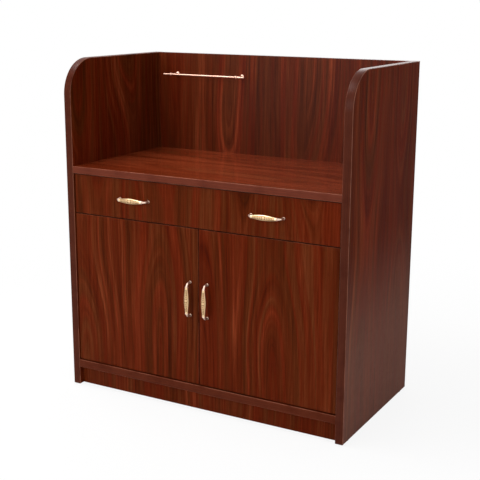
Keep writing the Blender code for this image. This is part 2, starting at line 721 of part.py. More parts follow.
def doors(carcass, bodies, meshes, wood, brass, steel):
    for side, sign in SIDES.items():
        body = bodies[side]
        x = sorted((sign * FRONT_GAP / 2, sign * (FRONT_GAP / 2 + DOOR_WIDTH)))
        door = board(f"{side}_door", (x[0], DOOR_Y, DOOR_FOOT), (x[1], DOOR_BACK_Y, DOOR_TOP), body, wood)
        for level in HINGE_HEIGHTS:
            hinge(side, level, carcass, door, body, meshes, steel)
        handle_x = sign * (FRONT_GAP / 2 + DOOR_HANDLE_INSET)
        handle_z = (DOOR_TOP + DOOR_FOOT) / 2 + DOOR_HANDLE_RAISE
        fit_handle(f"{side}_door_handle", door, (handle_x, handle_z), True, body, meshes, brass, steel)


def mirrored(outline):
    return [(-x, y) for x, y in outline[::-1]]


def build():
    clear_scene()
    wood = material("mahogany_laminate", (0.11, 0.025, 0.012), 0.30)
    plain = material("drawer_board", (0.16, 0.055, 0.030), 0.45)
    brass = material("antique_brass", (0.72, 0.55, 0.30), 0.28, 1.0)
    copper = material("copper_rail", (0.85, 0.60, 0.48), 0.25, 1.0)
    steel = material("nickel_steel", (0.62, 0.62, 0.60), 0.30, 1.0)
    plastic = material("black_plastic", (0.02, 0.02, 0.02), 0.50)

    carcass = frame_point("carcass_frame", (0.0, 0.0, 0.0))
    drawer = frame_point("drawer_frame", (0.0, DOOR_Y, SLIDE_Z))
    middles = {side: frame_point(f"slide_middle_{side}_frame", (sign * INNER, DOOR_BACK_Y, SLIDE_Z))
               for side, sign in SIDES.items()}
    door_bodies = {side: frame_point(f"{side}_door_axis", (sign * PIVOT_X, PIVOT_Y, DOOR_FOOT))
                   for side, sign in SIDES.items()}

    outline = arm_outline()
    arms = {"left": prism(outline, ARM_WIDTH, "hinge_arm_left"),
            "right": prism(mirrored(outline), ARM_WIDTH, "hinge_arm_right")}
    meshes = {"handle": handle_mesh(), "screw": screw_mesh(), "cup": cup_mesh(), "ears": cup_ears_mesh(),
              "arm": arms, "plate": prism(plate_outline(), PLATE_THICKNESS - SEAT, "hinge_plate")}

    carcass_boards(carcass, wood)
    shelf_pins(carcass, steel)
    glides(carcass, plastic)
    stemware_rail(carcass, copper)
    drawer_slides(carcass, middles, drawer, steel)
    front = drawer_box(drawer, wood, plain)
    for side, sign in SIDES.items():
        centre = (sign * INNER / 2, (DRAWER_TOP + DRAWER_FOOT) / 2)
        fit_handle(f"drawer_handle_{side}", front, centre, False, drawer, meshes, brass, steel)
    doors(carcass, door_bodies, meshes, wood, brass, steel)


build()
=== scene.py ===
"""Looks for the bar counter: red-brown wood-grain laminate with plain edge bands, antique brass bow handles,
plated steel fittings, and a pale floor under soft light."""

import math

import bmesh
import bpy
from mathutils import Matrix, Vector


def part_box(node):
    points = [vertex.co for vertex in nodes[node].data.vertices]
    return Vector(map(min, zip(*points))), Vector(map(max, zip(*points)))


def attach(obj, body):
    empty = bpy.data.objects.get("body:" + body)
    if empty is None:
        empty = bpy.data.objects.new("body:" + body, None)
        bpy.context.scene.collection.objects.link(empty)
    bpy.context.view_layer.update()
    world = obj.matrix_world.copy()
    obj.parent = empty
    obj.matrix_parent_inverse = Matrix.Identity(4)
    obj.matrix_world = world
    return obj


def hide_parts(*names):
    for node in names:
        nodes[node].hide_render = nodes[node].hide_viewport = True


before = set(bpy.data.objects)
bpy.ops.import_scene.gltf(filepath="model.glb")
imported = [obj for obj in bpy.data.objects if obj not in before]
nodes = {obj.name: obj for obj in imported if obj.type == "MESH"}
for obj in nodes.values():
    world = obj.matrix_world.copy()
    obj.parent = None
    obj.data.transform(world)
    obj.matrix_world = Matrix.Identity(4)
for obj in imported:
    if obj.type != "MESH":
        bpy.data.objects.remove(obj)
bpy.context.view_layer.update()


def srgb(red, green, blue):
    """Linear colour from values of 0 to 255."""
    def linear(value):
        value = value / 255
        return value / 12.92 if value <= 0.04045 else ((value + 0.055) / 1.055) ** 2.4
    return (linear(red), linear(green), linear(blue), 1.0)


# Camera, fitted to the photograph's edges. The left side panel's front corner on the floor is its origin.
IMAGE_PIXELS = 480
SENSOR = 36.0
FOCAL_PIXELS = 992.49
CAMERA_PLACE = (2.05451, -2.51707, 1.29148)
CAMERA_AZIMUTH = 0.509332
CAMERA_DIP = 0.239471
CAMERA_ROLL = 0.004799

# Lamps: place, point that each one faces, size and watts
LAMPS = {
    "key": ((-0.8, -3.4, 2.0), (0.0, 0.0, 0.6), (1.5, 1.5), 36.0),
    "fill": ((2.8, -1.4, 1.8), (0.0, 0.0, 0.6), (1.2, 1.2), 16.0),
    "overhead": ((-1.1, -0.5, 3.0), (-1.0, -0.4, 0.0), (2.2, 0.8), 60.0),
    "back": ((-0.3, 3.0, 2.5), (0.0, 0.0, 0.6), (1.8, 1.8), 30.0),
}

# White background that lends less light than it shows, and a floor that fades into it
BACKGROUND_LIGHT = 0.41
FLOOR_HALF = 14.0
FLOOR_COLOUR = (0.92, 0.92, 0.92, 1.0)
FLOOR_ROUGHNESS = 0.9
FLOOR_GLOW = 0.88
FLOOR_FADE_FROM = 0.7
FLOOR_FADE_TO = 2.2

# Bow handle, like the solid that it stands for, but with a slightly longer grip and slimmer feet
BOW_HALF = 0.054
BOW_OUT = 0.0235
BOW_POWER = 4.5
BOW_SAMPLES = 600
GRIP_HALF = 0.041
GRIP_WIDTH = 0.0165
GRIP_THICKNESS = 0.0090
GRIP_END_RADIUS = 0.0048
GRIP_SWELL_POWER = 1.2
RING_LENGTH = 0.0030
RING_RADIUS = 0.0056
RING_GROOVE = 0.0011
RING_BEAD_POWER = 0.6
ARM_RADIUS = 0.0033
ARM_SHOULDER = 0.0010
ARM_SHOULDER_SHARE = 0.35
FOOT_LENGTH = 0.0090
FOOT_NECK = 0.0034
FOOT_NECK_RADIUS = 0.0037
FOOT_RADIUS = 0.0048
FOOT_COLLAR = 0.0014
FOOT_ROUNDING = 0.0004
HANDLE_SIDES = 64
GRIP_ROWS = 64
RING_ROWS = 16
ARM_ROWS = 22
FOOT_ROWS = 24
HANDLE_CREASE = math.radians(60)
SEAT = 0.0003

# Ornament on the grip: a flower between two sprays of leaves, raised from a sunk ground
GROUND_DEPTH = 0.00035
GROUND_HALF_LENGTH = 0.0366
GROUND_SHARE = 0.80
GROUND_FADE_FROM = 0.90
GROUND_FADE = 0.12
LEAF_HEIGHT = 0.00055
LEAF_PAIRS = 5
LEAF_START = 0.0078
LEAF_STEP = 0.0055
LEAF_SHRINK = 0.11
LEAF_LEAN = math.radians(34)
LEAF_AHEAD = 0.0014
LEAF_ASIDE = 0.0026
LEAF_HALF_LENGTH = 0.0031
LEAF_HALF_WIDTH = 0.00115
LEAF_VEIN_DEPTH = 0.35
LEAF_VEIN_WIDTH = 0.00025
PETALS = 6
PETAL_RING = 0.0031
PETAL_HALF_LENGTH = 0.0021
PETAL_HALF_WIDTH = 0.0013
BOSS_RADIUS = 0.0014
BOSS_RISE = 1.25
RIB_HALF_WIDTH = 0.0005
RIB_RISE = 0.6
RIB_LEAD = 0.002

# Patina on the brass: in the sunk ground, in the grooves of the rings and towards the feet
CLEAN_RISE = 0.7
RING_PATINA = 0.75
RING_CLEAN = 0.15
ARM_PATINA = 0.10
FOOT_PATINA = 0.30
FOOT_PATINA_REACH = 1.5

# Brass: colours of the grip, of the paler arms and of the patina
GOLD = ((0.30, srgb(238, 198, 146)), (0.72, srgb(251, 223, 180)))
PALE_GOLD = ((0.30, srgb(232, 200, 178)), (0.72, srgb(248, 224, 206)))
PATINA = srgb(128, 84, 48)
BRASS_ROUGHNESS = 0.36
PATINA_ROUGHNESS = 0.22

# Plated metals: bright colour, dull colour, roughness and the scale of their brushing along each axis
NICKEL = (srgb(214, 211, 205), srgb(150, 147, 142), 0.26, (70.0, 900.0, 900.0))
ZINC = (srgb(206, 208, 208), srgb(140, 143, 146), 0.34, (900.0, 30.0, 900.0))
COPPER = (srgb(232, 190, 170), srgb(196, 148, 126), 0.42, (40.0, 900.0, 900.0))
TARNISH_RANGE = (0.20, 0.85)
PIT_RANGE = (0.62, 0.78)
PIT_SHARE = 0.4

# Black plastic of the glides
PLASTIC = ((0.3, srgb(20, 19, 19)), (0.7, srgb(34, 33, 32)))
PLASTIC_ROUGHNESS = 0.48
SCUFF_COLOUR = srgb(74, 71, 68)
SCUFF_RANGE = (0.52, 0.75)
SCUFF_SHARE = 0.5

# Edge bands: thin plastic strips glued round the front edges of the boards, their lips a little proud
CORNER_RADIUS = 0.115
CORNER_STEPS = 48
BAND_PROUD = 0.00020
BAND_LIP = 0.00015
BAND_WRAP = 0.0017
BAND_ROUNDING = 0.0012
BAND_ROUNDING_STEPS = 6
BAND_SINK = 0.0006
BAND_END_GAP = 0.0004
BAND_CREASE = math.radians(50)
BAND_ROUGHNESS = 0.34
BAND_SHADES = ((0.20, 0.70), (0.80, 1.34))
# Pale patches along the bands' rounded lips: partly wear, partly a painted highlight
BAND_RUB_HIGHLIGHT = 0.48
BAND_RUB_HIGHLIGHT_RANGE = (0.26, 0.56)
BAND_RUB_HIGHLIGHT_COLOUR = srgb(186, 124, 98)
PANEL_BAND = srgb(70, 26, 12)
TOP_BAND = srgb(97, 40, 23)
BASE_BAND = srgb(82, 31, 13)
FRONT_BAND = srgb(76, 30, 18)
PANEL_BAND_INDEX = 1.15
TOP_BAND_INDEX = 1.20
BASE_BAND_INDEX = 1.12

# Figure of the wood print: heart lines along the grain with arches over them
HEART_SPACING = 0.26
HEART_SHIFT = 0.37
HEART_WANDER = 0.16
HEART_TURNS = 5.7
HEART_START = -1.97
HEART_LIFT = 4.0
HEART_DEPTH = 0.032
GROWTH_DRIFT = 2.5

# Noises drawn out along the grain: scale across it and along it, detail, roughness
WANDER_NOISE = (2.4, 0.9, 1.0, 0.4)
LIFT_NOISE = (3.4, 0.7, 1.0, 0.4)
WOBBLE_NOISE = (30.0, 5.0, 1.0, 0.4)
GROWTH_NOISE = (105.0, 1.2, 3.0, 0.6)
BROAD_NOISE = (24.0, 0.9, 2.0, 0.5)
STREAK_NOISE = (190.0, 4.2, 2.0, 0.6)
FINE_NOISE = (720.0, 9.0, 2.0, 0.6)
PATCH_NOISE = (9.0, 3.4, 2.0, 0.5)
VEIN_NOISE = (50.0, 0.5, 3.0, 0.6)
PORE_NOISE = (1700.0, 36.0, 1.0, 0.5)
BAND_STREAK_NOISE = (260.0, 2.2, 3.0, 0.6)
THREAD_NOISE = (900.0, 60.0, 1.0, 0.5)
CROSSING_NOISE = (60.0, 900.0, 1.0, 0.5)

# Other noises: scale, detail, roughness
MOTTLE_NOISE = (38.0, 4.0, 0.6)
SMEAR_NOISE = (6.0, 3.0, 0.55)
BAND_CLOUD_NOISE = (16.0, 4.0, 0.6)
BAND_GRIT_NOISE = (900.0, 2.0, 0.5)
LINING_CLOUD_NOISE = (7.0, 4.0, 0.55)
BRUSHED_NOISE = (1.0, 3.0, 0.6)
TARNISH_NOISE = (55.0, 4.0, 0.6)
PIT_NOISE = (900.0, 2.0, 0.5)
BRASS_CLOUD_NOISE = (140.0, 4.0, 0.6)
BRASS_GRIT_NOISE = (1600.0, 2.0, 0.5)
PLASTIC_GRAIN_NOISE = (1400.0, 2.0, 0.5)
SCUFF_NOISE = (120.0, 5.0, 0.7)

# Relief of each material: height of its bumps in metres, and their strength
WOOD_RELIEF = (0.00012, 0.5)
BAND_RELIEF = (0.00003, 0.25)
LINING_RELIEF = (0.00008, 0.5)
PLATED_RELIEF = (0.00004, 0.5)
BRASS_RELIEF = (0.00003, 0.5)
PLASTIC_RELIEF = (0.00006, 0.6)

# How much each noise of the wood print tells
WOBBLE = 0.0045
MIDDLE_TONE = 0.51
GROWTH_WEIGHT = 1.15
BROAD_WEIGHT = 0.80
STREAK_WEIGHT = 0.72
FINE_WEIGHT = 0.46
PATCH_RANGE = (0.34, 0.66)
PATCH_STRENGTH = 0.95
LEAST_STRENGTH = 0.25
PLAIN_BROWN = 0.36
BROWN_FADE = 0.28
PORE_RANGE = (0.60, 0.72)
PORE_SHARE = 0.45

# Colours of the wood print, from its darkest tone to its palest
RED_WOOD = (
    (0.06, srgb(58, 12, 3)),
    (0.30, srgb(80, 22, 4)),
    (0.52, srgb(95, 29, 8)),
    (0.74, srgb(111, 40, 17)),
    (0.96, srgb(134, 56, 29)),
)
BROWN_WOOD = (
    (0.06, srgb(50, 14, 2)),
    (0.30, srgb(69, 25, 5)),
    (0.52, srgb(84, 34, 11)),
    (0.74, srgb(98, 45, 20)),
    (0.96, srgb(120, 60, 32)),
)
PORE_COLOUR = srgb(36, 10, 4)

# Narrow faces of the boards and the eased edges beside them, told by how far a surface faces the thin way
NARROW_BELOW = 0.6
EASED_FROM = (0.15, 0.45)
EASED_TO = (0.80, 0.97)
EDGE_SHADES = ((0.30, 0.82), (0.70, 1.20))
# Pale patches along the eased edges: partly wear, partly a painted highlight
WOOD_RUB_HIGHLIGHT = 0.45
WOOD_RUB_HIGHLIGHT_RANGE = (0.30, 0.60)
WOOD_RUB_HIGHLIGHT_COLOUR = srgb(176, 112, 84)

# Painted reflection of the white floor on the outer faces of the side panels, a pale cloudy haze, between
# the heights where it starts to thin and where it ends
FLOOR_SHEEN_FROM = 0.22
FLOOR_SHEEN_TO = 0.64
FLOOR_SHEEN_CLOUDS = 0.5
FLOOR_SHEEN_COLOUR = srgb(146, 116, 104)

# Facing of the drawer box
LINEN = ((0.15, srgb(92, 56, 40)), (0.5, srgb(112, 70, 50)), (0.85, srgb(132, 86, 62)))
LINING_EDGE = srgb(72, 42, 34)
LINING_RUB = 0.3
RUBBED_LINING = srgb(150, 108, 84)
LINING_ROUGHNESS = 0.52
LINING_SPECULAR = 0.25

# Boards: axes across the grain, along it and through the board
FRONT_AXES = ("X", "Z", "Y")
SIDE_AXES = ("Y", "Z", "X")
FLAT_AXES = ("Y", "X", "Z")
DRAWER_SIDE_AXES = ("Z", "Y", "X")
DRAWER_BACK_AXES = ("Z", "X", "Y")

# Boards: a place in the print for each, with how pale a front is and how strong the painted floor reflection
# is on a side panel
FRONT_PRINTS = {
    "drawer_front": (3.1, 0.0),
    "left_door": (11.7, -0.05),
    "right_door": (27.4, 0.0),
    "toe_kick": (41.9, 0.03),
}
SIDE_PRINTS = {"left_side_panel": (63.8, 0.10), "right_side_panel": (78.3, 0.28)}
BACK_PRINT = 55.2
TOP_PRINT = 84.6
FLAT_PRINT = 92.5
LINING_PRINTS = {
    "drawer_side_left": (DRAWER_SIDE_AXES, 5.0),
    "drawer_side_right": (DRAWER_SIDE_AXES, 5.0),
    "drawer_back": (DRAWER_BACK_AXES, 14.0),
    "drawer_bottom": (FLAT_AXES, 23.0),
}

# Boards: gloss of each kind
PLAIN_INDEX = 1.5
FRONT_FACE = {"roughness": 0.34, "specular": 0.02}
BACK_FACE = {"roughness": 0.34, "specular": 0.10}
SIDE_FACE = {"roughness": 0.36, "specular": 0.5, "index": 1.035}
# The worktop's print is lifted paler: partly its own tone, partly painted light from above and painted sheen
TOP_FACE = {"roughness": 0.12, "specular": 0.32, "light": 0.28, "brown": 0.50}
FLAT_FACE = {"roughness": 0.36, "specular": 0.03}
BOARD_CREASE = math.radians(38)
FLAT_FACE_WEIGHT = 100

# Screws: the head's outline as shares of its radius and height, and its cross recess as shares of the same
SCREW_SIDES = 28
SCREW_CREASE = math.radians(40)
SCREW_TURN = 0.7
SCREW_PROFILE = ((1.0, 0.0), (1.0, 0.45), (0.93, 0.80), (0.80, 1.0))
CROSS_REACH = 0.56
CROSS_HALF = 0.13
CROSS_TAPER = 0.8
CROSS_FLOOR = 0.35
FIXING_SCREW_RADIUS = 0.0033
FIXING_SCREW_HEAD = 0.0011
HANDLE_SCREW_HEAD_RADIUS = 0.0042
HANDLE_SCREW_HEAD = 0.0026
HANDLE_SCREW_RADIUS = 0.0020
HANDLE_SCREW_INTO_FOOT = 0.0060
CUP_SCREW_SPREAD = 0.0230
PLATE_SCREW_SPREAD = 0.0165
ARM_SCREW_INSETS = (0.0085, 0.0270)
ARM_SHEET = 0.0014
SLIDE_SCREW_SHARES = (0.09, 0.47, 0.93)
SLIDE_SHEET = 0.0012


def new_material(name):
    material = bpy.data.materials.new(name)
    material.use_nodes = True
    return material, material.node_tree, material.node_tree.nodes["Principled BSDF"]


def add(tree, kind, **settings):
    item = tree.nodes.new(kind)
    for key, value in settings.items():
        setattr(item, key, value)
    return item


def put(tree, socket, value):
    """Link a node's output to a socket, or set the socket to a number, vector or colour."""
    if isinstance(value, bpy.types.NodeSocket):
        tree.links.new(value, socket)
    else:
        socket.default_value = value


def calculate(tree, operation, *values, clamp=False):
    item = add(tree, "ShaderNodeMath", operation=operation, use_clamp=clamp)
    for socket, value in zip(item.inputs, values):
        put(tree, socket, value)
    return item.outputs[0]


def calculate_vector(tree, operation, first, second):
    item = add(tree, "ShaderNodeVectorMath", operation=operation)
    put(tree, item.inputs[0], first)
    put(tree, item.inputs[1], second)
    return item.outputs[0]


def scaled_sum(tree, start, *terms):
    """A number plus any count of (texture, weight) pairs, each texture taken from its middle of 0.5."""
    total = start - sum(0.5 * weight for _, weight in terms)
    for texture, weight in terms:
        total = calculate(tree, "MULTIPLY_ADD", texture, weight, total)
    return total


def sum_of_squares(tree, first, second):
    return calculate(tree, "MULTIPLY_ADD", first, first, calculate(tree, "MULTIPLY", second, second))


def split(tree, vector):
    """The X, Y and Z of a vector."""
    item = add(tree, "ShaderNodeSeparateXYZ")
    put(tree, item.inputs[0], vector)
    return item.outputs


def join(tree, *parts):
    """A vector from its X, Y and Z."""
    item = add(tree, "ShaderNodeCombineXYZ")
    for socket, part in zip(item.inputs, parts):
        put(tree, socket, part)
    return item.outputs[0]


def mix_colour(tree, share, first, second):
    item = add(tree, "ShaderNodeMix", data_type="RGBA")
    put(tree, item.inputs["Factor"], share)
    put(tree, item.inputs[6], first)
    put(tree, item.inputs[7], second)
    return item.outputs[2]


def between(tree, value, low, high):
    """0 below low, 1 above high, smooth in between."""
    item = add(tree, "ShaderNodeMapRange", interpolation_type="SMOOTHSTEP")
    put(tree, item.inputs["Value"], value)
    item.inputs["From Min"].default_value = low
    item.inputs["From Max"].default_value = high
    return item.outputs[0]


def shades(colour, stops):
    """Stops for a ramp: a colour made darker or paler, by (place, share) pairs."""
    return [(place, tuple(share * part for part in colour[:3]) + (1.0,)) for place, share in stops]


def ramp(tree, value, stops):
    item = add(tree, "ShaderNodeValToRGB")
    band = item.color_ramp
    while len(band.elements) < len(stops):
        band.elements.new(0.5)
    for element, (place, colour) in zip(band.elements, stops):
        element.position = place
        element.color = colour
    put(tree, item.inputs[0], value)
    return item.outputs[0]


def noise(tree, vector, scale, detail, roughness):
    item = add(tree, "ShaderNodeTexNoise")
    item.inputs["Scale"].default_value = scale
    item.inputs["Detail"].default_value = detail
    item.inputs["Roughness"].default_value = roughness
    put(tree, item.inputs["Vector"], vector)
    return item.outputs[0]


def bump(tree, shader, height, distance, strength):
    item = add(tree, "ShaderNodeBump")
    item.inputs["Strength"].default_value = strength
    item.inputs["Distance"].default_value = distance
    put(tree, item.inputs["Height"], height)
    put(tree, shader.inputs["Normal"], item.outputs[0])


def point_value(tree, name):
    """A number that the mesh keeps at each of its points."""
    return add(tree, "ShaderNodeAttribute", attribute_name=name).outputs["Fac"]


def object_place(tree):
    return add(tree, "ShaderNodeTexCoord").outputs["Object"]


def object_normal(tree):
    return add(tree, "ShaderNodeTexCoord").outputs["Normal"]


def grain_space(tree, across, along, seed):
    """Object coordinates turned so that X runs across the grain and Y along it, with a Z for each board."""
    place = split(tree, object_place(tree))
    return join(tree, place[across], place[along], seed)


def grain_noise(tree, space, across, along, detail, roughness):
    """Noise in grain space, drawn out into streaks along the grain."""
    drawn_out = calculate_vector(tree, "MULTIPLY", space, (across, along, 1.0))
    return noise(tree, drawn_out, 1.0, detail, roughness)


def pushed_aside(tree, space, *pushes):
    """Grain space moved across the grain by (texture, distance) pairs."""
    push = join(tree, scaled_sum(tree, 0.0, *pushes))
    return calculate_vector(tree, "ADD", space, push)


def growth_rings(tree, space, seed):
    """Distance from the heart of the log: arches close over each heart line and run out between them."""
    parts = split(tree, space)
    across = parts["X"]
    along = parts["Y"]
    wander = grain_noise(tree, space, *WANDER_NOISE)
    shifted = scaled_sum(tree, HEART_SHIFT * seed, (wander, HEART_WANDER))
    beside = calculate(tree, "PINGPONG", calculate(tree, "ADD", across, shifted), HEART_SPACING / 2)
    lift = grain_noise(tree, space, *LIFT_NOISE)
    start = scaled_sum(tree, HEART_START, (lift, HEART_LIFT))
    phase = calculate(tree, "MULTIPLY_ADD", along, HEART_TURNS, start)
    depth = calculate(tree, "MULTIPLY_ADD", calculate(tree, "SINE", phase), HEART_DEPTH, HEART_DEPTH)
    reach = calculate(tree, "SQRT", sum_of_squares(tree, beside, depth))
    drift = calculate(tree, "MULTIPLY_ADD", across, GROWTH_DRIFT, seed)
    return join(tree, reach, along, drift)


def wood_print(tree, space, seed, light, brown):
    """Colour of the printed wood, and the streaks, fibres and pores that its relief follows."""
    wobble = grain_noise(tree, space, *WOBBLE_NOISE)
    fibre = pushed_aside(tree, space, (wobble, WOBBLE))
    rings = growth_rings(tree, fibre, seed)
    growth = grain_noise(tree, rings, *GROWTH_NOISE)
    broad = grain_noise(tree, rings, *BROAD_NOISE)
    streak = grain_noise(tree, fibre, *STREAK_NOISE)
    fine = grain_noise(tree, fibre, *FINE_NOISE)
    patch = between(tree, grain_noise(tree, fibre, *PATCH_NOISE), *PATCH_RANGE)
    strength = calculate(tree, "MULTIPLY_ADD", patch, PATCH_STRENGTH, LEAST_STRENGTH)
    lines = calculate(tree, "MULTIPLY_ADD", calculate(tree, "SUBTRACT", growth, 0.5), strength, 0.5)
    terms = ((lines, GROWTH_WEIGHT), (broad, BROAD_WEIGHT), (streak, STREAK_WEIGHT), (fine, FINE_WEIGHT))
    tone = scaled_sum(tree, MIDDLE_TONE + light, *terms)
    vein = grain_noise(tree, rings, *VEIN_NOISE)
    browner = between(tree, vein, brown, brown + BROWN_FADE)
    wood = mix_colour(tree, browner, ramp(tree, tone, RED_WOOD), ramp(tree, tone, BROWN_WOOD))
    pores = between(tree, grain_noise(tree, fibre, *PORE_NOISE), *PORE_RANGE)
    wood = mix_colour(tree, calculate(tree, "MULTIPLY", pores, PORE_SHARE), wood, PORE_COLOUR)
    return wood, streak, fine, pores


def face_masks(tree, thin):
    """1 on the narrow faces of a board that is thin along one axis, and 1 on the eased edges beside them."""
    lean = calculate(tree, "ABSOLUTE", split(tree, object_normal(tree))[thin])
    narrow = calculate(tree, "LESS_THAN", lean, NARROW_BELOW)
    off_face = calculate(tree, "SUBTRACT", 1.0, between(tree, lean, *EASED_TO))
    eased = calculate(tree, "MULTIPLY", between(tree, lean, *EASED_FROM), off_face)
    return narrow, eased


def plain_edges(tree, wood, thin, band, mottle):
    """The wood's colour with plain narrow faces, and the eased edges paler in patches: partly rubbed, partly
    a painted highlight.
    """
    narrow, eased = face_masks(tree, thin)
    edging = ramp(tree, mottle, shades(band, EDGE_SHADES))
    colour = mix_colour(tree, narrow, wood, edging)
    # Eased edges paler in patches: partly wear, partly a painted highlight
    rubbed_highlight = calculate(tree, "MULTIPLY", eased, between(tree, mottle, *WOOD_RUB_HIGHLIGHT_RANGE))
    return mix_colour(tree, calculate(tree, "MULTIPLY", rubbed_highlight, WOOD_RUB_HIGHLIGHT), colour, WOOD_RUB_HIGHLIGHT_COLOUR)


def painted_floor_sheen(tree, mottle, most):
    """Share of painted floor reflection, a pale cloudy haze, on a side panel's outer face: most near the
    floor, none in its upper part.
    """
    place = split(tree, object_place(tree))
    normal = split(tree, object_normal(tree))
    outward = calculate(tree, "MULTIPLY", place["X"], normal["X"])
    outer = calculate(tree, "GREATER_THAN", outward, 0.0)
    low = calculate(tree, "SUBTRACT", 1.0, between(tree, place["Z"], FLOOR_SHEEN_FROM, FLOOR_SHEEN_TO))
    share = calculate(tree, "MULTIPLY", low, scaled_sum(tree, most, (mottle, FLOOR_SHEEN_CLOUDS * most)))
    return calculate(tree, "MULTIPLY", outer, share)


def laminate(name, axes, seed, band, roughness, specular, light=0.0, brown=PLAIN_BROWN, floor_sheen=0.0,
             index=PLAIN_INDEX):
    """Printed wood on a board with plain edges, an uneven gloss and a fine relief."""
    material, tree, shader = new_material(name)
    across, along, thin = axes
    space = grain_space(tree, across, along, seed)
    wood, streak, fine, pores = wood_print(tree, space, seed, light, brown)
    mottle = noise(tree, object_place(tree), *MOTTLE_NOISE)
    colour = plain_edges(tree, wood, thin, band, mottle)
    # Painted reflection of the white floor: a pale haze low on the side panels' outer faces
    if floor_sheen:
        colour = mix_colour(tree, painted_floor_sheen(tree, mottle, floor_sheen), colour, FLOOR_SHEEN_COLOUR)
    put(tree, shader.inputs["Base Color"], colour)
    smear = noise(tree, object_place(tree), *SMEAR_NOISE)
    shine = scaled_sum(tree, roughness, (smear, 0.12), (streak, 0.10), (fine, 0.06))
    put(tree, shader.inputs["Roughness"], shine)
    shader.inputs["Specular IOR Level"].default_value = specular
    shader.inputs["IOR"].default_value = index
    relief = scaled_sum(tree, 0.5, (pores, -0.8), (fine, 0.5), (streak, 0.3))
    bump(tree, shader, relief, *WOOD_RELIEF)
    return material


def edge_banding(name, tint, index):
    """Satin plastic strip with a faint grain along its run, its lips paler in patches: partly rubbed, partly
    a painted highlight.
    """
    material, tree, shader = new_material(name)
    strip = join(tree, point_value(tree, "lane"), point_value(tree, "run"))
    streak = grain_noise(tree, strip, *BAND_STREAK_NOISE)
    cloud = noise(tree, object_place(tree), *BAND_CLOUD_NOISE)
    grit = noise(tree, object_place(tree), *BAND_GRIT_NOISE)
    tone = scaled_sum(tree, 0.5, (streak, 0.9), (cloud, 0.5), (grit, 0.15))
    colour = ramp(tree, tone, shades(tint, BAND_SHADES))
    # Lips paler in patches: partly wear, partly a painted highlight
    rub_highlight_clouds = between(tree, cloud, *BAND_RUB_HIGHLIGHT_RANGE)
    rubbed_highlight = calculate(tree, "MULTIPLY", point_value(tree, "lip"), rub_highlight_clouds)
    colour = mix_colour(tree, calculate(tree, "MULTIPLY", rubbed_highlight, BAND_RUB_HIGHLIGHT), colour, BAND_RUB_HIGHLIGHT_COLOUR)
    put(tree, shader.inputs["Base Color"], colour)
    put(tree, shader.inputs["Roughness"], scaled_sum(tree, BAND_ROUGHNESS, (cloud, 0.08), (grit, 0.05)))
    shader.inputs["IOR"].default_value = index
    bump(tree, shader, grit, *BAND_RELIEF)
    return material


def lining(name, axes, seed):
    """Plain brown facing of the drawer box: a fine linen print with pale, dusty clouds in it, dark edges."""
    material, tree, shader = new_material(name)
    across, along, thin = axes
    space = grain_space(tree, across, along, seed)
    threads = grain_noise(tree, space, *THREAD_NOISE)
    crossing = grain_noise(tree, space, *CROSSING_NOISE)
    cloud = noise(tree, space, *LINING_CLOUD_NOISE)
    tone = scaled_sum(tree, 0.5, (threads, 0.6), (crossing, 0.5), (cloud, 0.7))
    narrow, eased = face_masks(tree, thin)
    colour = mix_colour(tree, narrow, ramp(tree, tone, LINEN), LINING_EDGE)
    colour = mix_colour(tree, calculate(tree, "MULTIPLY", eased, LINING_RUB), colour, RUBBED_LINING)
    put(tree, shader.inputs["Base Color"], colour)
    put(tree, shader.inputs["Roughness"], scaled_sum(tree, LINING_ROUGHNESS, (cloud, 0.16), (threads, 0.10)))
    shader.inputs["Specular IOR Level"].default_value = LINING_SPECULAR
    bump(tree, shader, scaled_sum(tree, 0.5, (threads, 0.5), (crossing, 0.5)), *LINING_RELIEF)
    return material


def plated(name, bright, dull, roughness, brushing):
    """Plated metal: cloudy tarnish, fine brushing along one axis and tiny pits."""
    material, tree, shader = new_material(name)
    place = object_place(tree)
    lines = noise(tree, calculate_vector(tree, "MULTIPLY", place, brushing), *BRUSHED_NOISE)
    cloud = noise(tree, place, *TARNISH_NOISE)
    pits = between(tree, noise(tree, place, *PIT_NOISE), *PIT_RANGE)
    tarnish = scaled_sum(tree, 0.35, (cloud, 0.9), (lines, 0.4))
    colour = ramp(tree, tarnish, tuple(zip(TARNISH_RANGE, (bright, dull))))
    colour = mix_colour(tree, calculate(tree, "MULTIPLY", pits, PIT_SHARE), colour, dull)
    put(tree, shader.inputs["Base Color"], colour)
    shader.inputs["Metallic"].default_value = 1.0
    put(tree, shader.inputs["Roughness"], scaled_sum(tree, roughness, (lines, 0.14), (cloud, 0.12)))
    bump(tree, shader, scaled_sum(tree, 0.5, (lines, 0.6), (pits, -0.5)), *PLATED_RELIEF)
    return material


def antique_brass():
    """Pale satin brass: brown patina lies in the sunk ground and grooves, arms paler than the grip."""
    material, tree, shader = new_material("antique_brass")
    place = object_place(tree)
    grip = point_value(tree, "grip")
    cloud = noise(tree, place, *BRASS_CLOUD_NOISE)
    grit = noise(tree, place, *BRASS_GRIT_NOISE)
    metal = mix_colour(tree, grip, ramp(tree, cloud, PALE_GOLD), ramp(tree, cloud, GOLD))
    stain = calculate(tree, "ADD", scaled_sum(tree, 0.0, (cloud, 0.5), (grit, 0.4)), 0.8)
    share = calculate(tree, "MULTIPLY", point_value(tree, "patina"), stain, clamp=True)
    put(tree, shader.inputs["Base Color"], mix_colour(tree, share, metal, PATINA))
    shader.inputs["Metallic"].default_value = 1.0
    satin = scaled_sum(tree, BRASS_ROUGHNESS, (grip, -0.06), (cloud, 0.14), (grit, 0.08))
    put(tree, shader.inputs["Roughness"], calculate(tree, "MULTIPLY_ADD", share, PATINA_ROUGHNESS, satin))
    bump(tree, shader, grit, *BRASS_RELIEF)
    return material


